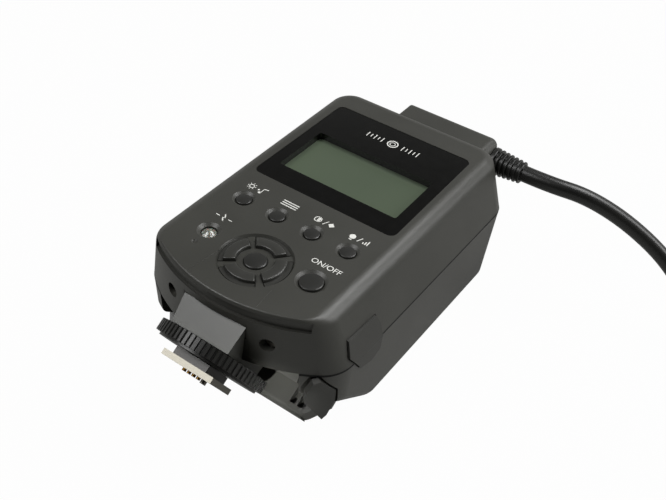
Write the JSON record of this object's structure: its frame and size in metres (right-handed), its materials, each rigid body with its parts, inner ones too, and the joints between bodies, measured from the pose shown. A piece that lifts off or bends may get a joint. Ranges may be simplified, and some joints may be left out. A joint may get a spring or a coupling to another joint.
{
  "type": "macro_ring_flash",
  "caption": "Macro ring flash: control unit with display, keys, pad and hot-shoe foot with lock wheel, joined by a cord to a ring lamp with frosted windows",
  "frame": {"origin": "centre of the control unit's underside, on the surface it lies on", "axes": "+X along the longest extent, to the right of the display, +Z out of the display and along the ring lamp's bore, +Y towards the cord end"},
  "size_m": [0.3856, 0.1754, 0.0555],
  "materials": {
    "body_plastic": "fine matte grain",
    "panel_gloss": "gloss black",
    "lcd_green": "reflective display",
    "key_plastic": "satin black",
    "pilot_milky": "translucent",
    "cover_rubber": "matte",
    "foot_plastic": "satin",
    "wheel_plastic": "satin",
    "bright_metal": "brushed",
    "gold_contact": "plated",
    "cord_rubber": "satin",
    "board_green": "lacquered",
    "chip_black": "moulded",
    "cell_wrap": "plastic sleeve",
    "tray_plastic": "moulded",
    "diffuser_white": "frosted",
    "reflector_metal": "polished",
    "tube_glass": "clear",
    "lamp_clear": "clear lens"
  },
  "bodies": {
    "control_unit": {"base_shell": "body_plastic", "battery_cells": "cell_wrap", "battery_contacts": "bright_metal", "battery_tray": "tray_plastic", "board_chips": "chip_black", "cable_boot": "cord_rubber", "cable_cover": "body_plastic", "coil_tie": "cover_rubber", "contact_block": "gold_contact", "contact_pins": "gold_contact", "cord_coil": "cord_rubber", "cord_to_coil": "cord_rubber", "cord_to_head": "cord_rubber", "diffuser_left": "diffuser_white", "diffuser_right": "diffuser_white", "display_panel": "panel_gloss", "door_hinge_pin": "bright_metal", "end_screws": "bright_metal", "face_shell": "body_plastic", "flash_capacitor": "cell_wrap", "flash_tubes": "tube_glass", "focus_lamps": "lamp_clear", "foot_neck": "foot_plastic", "foot_screws": "bright_metal", "head_board": "board_green", "head_boot": "cord_rubber", "head_front_shell": "body_plastic", "head_rear_shell": "body_plastic", "head_screws": "bright_metal", "keypad_mat": "cover_rubber", "lcd_glass": "lcd_green", "lcd_holder": "tray_plastic", "main_board": "board_green", "power_board": "board_green", "power_socket": "tray_plastic", "reflectors": "reflector_metal", "shell_screws": "bright_metal", "shoe_plate": "bright_metal", "sync_socket": "bright_metal", "transformer": "chip_black"},
    "function_button_1": {"function_button_1": "key_plastic"},
    "function_button_2": {"function_button_2": "key_plastic"},
    "function_button_3": {"function_button_3": "key_plastic"},
    "function_button_4": {"function_button_4": "key_plastic"},
    "pilot_button": {"pilot_button": "pilot_milky"},
    "power_button": {"power_button": "key_plastic"},
    "pad_key_right": {"pad_key_right": "key_plastic"},
    "pad_key_left": {"pad_key_left": "key_plastic"},
    "pad_key_up": {"pad_key_up": "key_plastic"},
    "pad_key_down": {"pad_key_down": "key_plastic"},
    "pad_centre_key": {"pad_centre_key": "key_plastic"},
    "lock_wheel": {"lock_wheel": "wheel_plastic"},
    "lock_pin": {"lock_pin": "bright_metal"},
    "battery_door": {"battery_door": "body_plastic"},
    "sync_port_cover": {"sync_port_cover": "cover_rubber"},
    "power_port_cover": {"power_port_cover": "cover_rubber"},
    "release_right": {"release_button_right": "key_plastic"},
    "claw_right": {"claw_right": "tray_plastic"},
    "release_left": {"release_button_left": "key_plastic"},
    "claw_left": {"claw_left": "tray_plastic"}
  },
  "joints": [
    {"name": "function_button_1_press", "type": "slide", "parent": "control_unit", "child": "function_button_1", "axis": [0, 0, -1], "range_m": [0, 0.0005], "stiffness_N_per_m": 60},
    {"name": "function_button_2_press", "type": "slide", "parent": "control_unit", "child": "function_button_2", "axis": [0, 0, -1], "range_m": [0, 0.0005], "stiffness_N_per_m": 60},
    {"name": "function_button_3_press", "type": "slide", "parent": "control_unit", "child": "function_button_3", "axis": [0, 0, -1], "range_m": [0, 0.0005], "stiffness_N_per_m": 60},
    {"name": "function_button_4_press", "type": "slide", "parent": "control_unit", "child": "function_button_4", "axis": [0, 0, -1], "range_m": [0, 0.0005], "stiffness_N_per_m": 60},
    {"name": "pilot_button_press", "type": "slide", "parent": "control_unit", "child": "pilot_button", "axis": [0, 0, -1], "range_m": [0, 0.0005], "stiffness_N_per_m": 60},
    {"name": "power_button_press", "type": "slide", "parent": "control_unit", "child": "power_button", "axis": [0, 0, -1], "range_m": [0, 0.0005], "stiffness_N_per_m": 60},
    {"name": "pad_key_right_press", "type": "slide", "parent": "control_unit", "child": "pad_key_right", "axis": [0, 0, -1], "range_m": [0, 0.0005], "stiffness_N_per_m": 60},
    {"name": "pad_key_left_press", "type": "slide", "parent": "control_unit", "child": "pad_key_left", "axis": [0, 0, -1], "range_m": [0, 0.0005], "stiffness_N_per_m": 60},
    {"name": "pad_key_up_press", "type": "slide", "parent": "control_unit", "child": "pad_key_up", "axis": [0, 0, -1], "range_m": [0, 0.0005], "stiffness_N_per_m": 60},
    {"name": "pad_key_down_press", "type": "slide", "parent": "control_unit", "child": "pad_key_down", "axis": [0, 0, -1], "range_m": [0, 0.0005], "stiffness_N_per_m": 60},
    {"name": "pad_centre_key_press", "type": "slide", "parent": "control_unit", "child": "pad_centre_key", "axis": [0, 0, -1], "range_m": [0, 0.0005], "stiffness_N_per_m": 60},
    {"name": "lock_wheel_turn", "type": "hinge", "parent": "control_unit", "child": "lock_wheel", "pos_m": [0, -0.0595, 0.0288], "axis": [0, -0.8572, -0.515], "range_deg": [0, 90]},
    {"name": "lock_pin_slide", "type": "slide", "parent": "control_unit", "child": "lock_pin", "axis": [0, 0.8572, 0.515], "range_m": [0, 0.0014]},
    {"name": "battery_door_hinge", "type": "hinge", "parent": "control_unit", "child": "battery_door", "pos_m": [-0.0363, 0.034, 0.02], "axis": [0, 0, -1], "range_deg": [0, 95]},
    {"name": "sync_cover_hinge", "type": "hinge", "parent": "control_unit", "child": "sync_port_cover", "pos_m": [0.03833, -0.02422, 0.035], "axis": [0, 0, 1], "range_deg": [0, 95]},
    {"name": "power_cover_hinge", "type": "hinge", "parent": "control_unit", "child": "power_port_cover", "pos_m": [0.03431, -0.04842, 0.03279], "axis": [-0.5751, -0.8181, 0], "range_deg": [0, 75]},
    {"name": "release_right_press", "type": "slide", "parent": "control_unit", "child": "release_right", "axis": [0, -1, 0], "range_m": [0, 0.002], "stiffness_N_per_m": 120},
    {"name": "claw_right_slide", "type": "slide", "parent": "control_unit", "child": "claw_right", "axis": [0, 1, 0], "range_m": [0, 0.0015]},
    {"name": "release_left_press", "type": "slide", "parent": "control_unit", "child": "release_left", "axis": [0, 1, 0], "range_m": [0, 0.002], "stiffness_N_per_m": 120},
    {"name": "claw_left_slide", "type": "slide", "parent": "control_unit", "child": "claw_left", "axis": [0, -1, 0], "range_m": [0, 0.0015]}
  ],
  "couplings": [
    {"joint": "lock_pin_slide", "follows": "lock_wheel_turn", "m_per_rad": 0.00089127},
    {"joint": "claw_right_slide", "follows": "release_right_press", "ratio": 0.75},
    {"joint": "claw_left_slide", "follows": "release_left_press", "ratio": 0.75}
  ]
}
